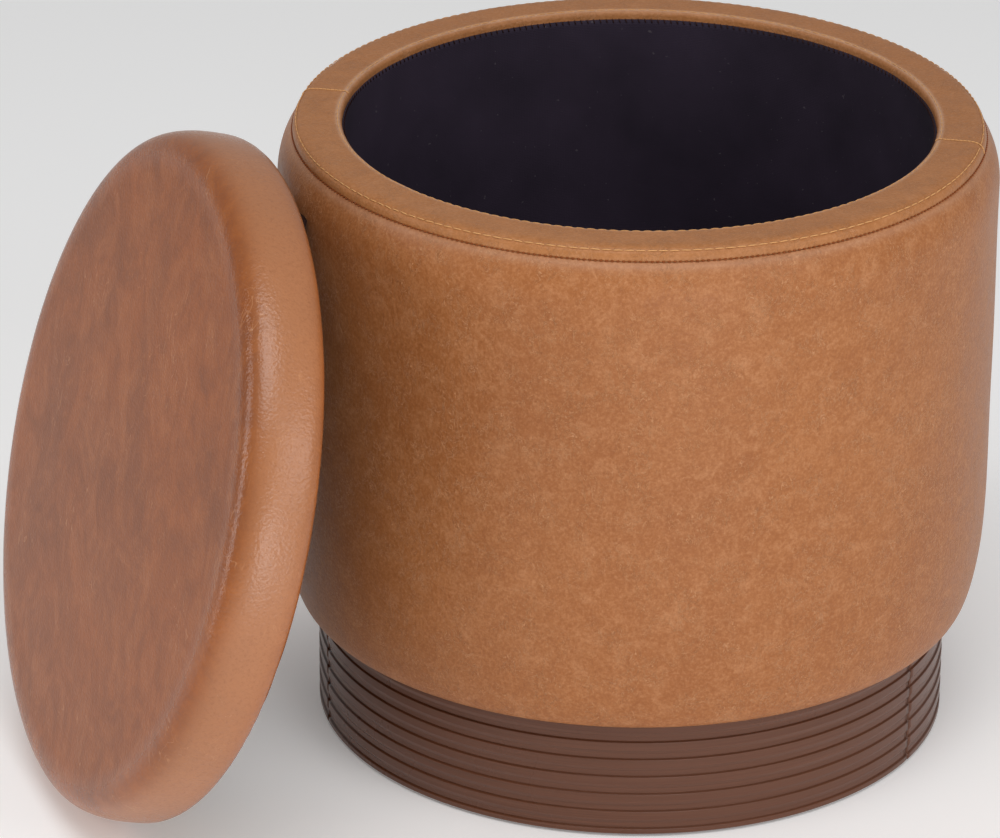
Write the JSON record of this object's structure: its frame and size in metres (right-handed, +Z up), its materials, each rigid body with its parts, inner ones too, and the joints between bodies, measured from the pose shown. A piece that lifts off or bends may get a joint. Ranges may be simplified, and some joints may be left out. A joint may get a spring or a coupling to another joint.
{
  "type": "ottoman with storage",
  "caption": "Round padded storage ottoman in faux leather on a fluted plinth, with its loose cushion lid leaning against the open drum.",
  "frame": {"origin": "on the floor, under the middle of the whole object's box, drum and leaning lid together", "axes": "+Z up, +X from the leaning lid towards the drum, and the lid leans over to +X; the drum's round axis is parallel to Z at x 83 mm, y 2.5 mm"},
  "size_m": [0.596, 0.435, 0.3978],
  "materials": {
    "drum_leather": "satin",
    "lid_leather": "satin",
    "lining": "matte",
    "foam": "matte",
    "plywood": "matte",
    "card": "matte",
    "fluting": "satin",
    "dust_cover": "matte",
    "steel": "satin",
    "glide": "matte"
  },
  "bodies": {
    "drum": {"drum_floor_board": "plywood", "drum_screw_1": "steel", "drum_screw_2": "steel", "drum_screw_3": "steel", "drum_screw_4": "steel", "drum_wall": "plywood", "glide_1": "glide", "glide_2": "glide", "glide_3": "glide", "glide_4": "glide", "lining_wall": "lining", "plinth_block_1": "plywood", "plinth_block_2": "plywood", "plinth_block_3": "plywood", "plinth_block_4": "plywood", "plinth_board": "plywood", "plinth_dust_cover": "dust_cover", "plinth_hoop": "plywood", "plinth_screw_1": "steel", "plinth_screw_2": "steel", "plinth_screw_3": "steel", "plinth_screw_4": "steel", "plinth_strip_back_left": "fluting", "plinth_strip_back_right": "fluting", "plinth_strip_front": "fluting", "rim_board": "plywood", "rim_cover_back": "drum_leather", "rim_cover_front": "drum_leather", "rim_foam": "foam", "side_cover": "drum_leather", "side_foam": "foam", "storage_floor_lining": "lining", "storage_floor_panel": "card"},
    "lid": {"lid_board": "plywood", "lid_cover": "lid_leather", "lid_foam": "foam", "lid_rail_1": "plywood", "lid_rail_2": "plywood", "lid_underlining": "lining", "rail_screw_1": "steel", "rail_screw_2": "steel", "rail_screw_3": "steel", "rail_screw_4": "steel"}
  },
  "joints": [
    {"name": "lid_lift", "type": "slide", "parent": "drum", "child": "lid", "axis": [0, 0, 1], "range_m": [0, 0.45]}
  ]
}
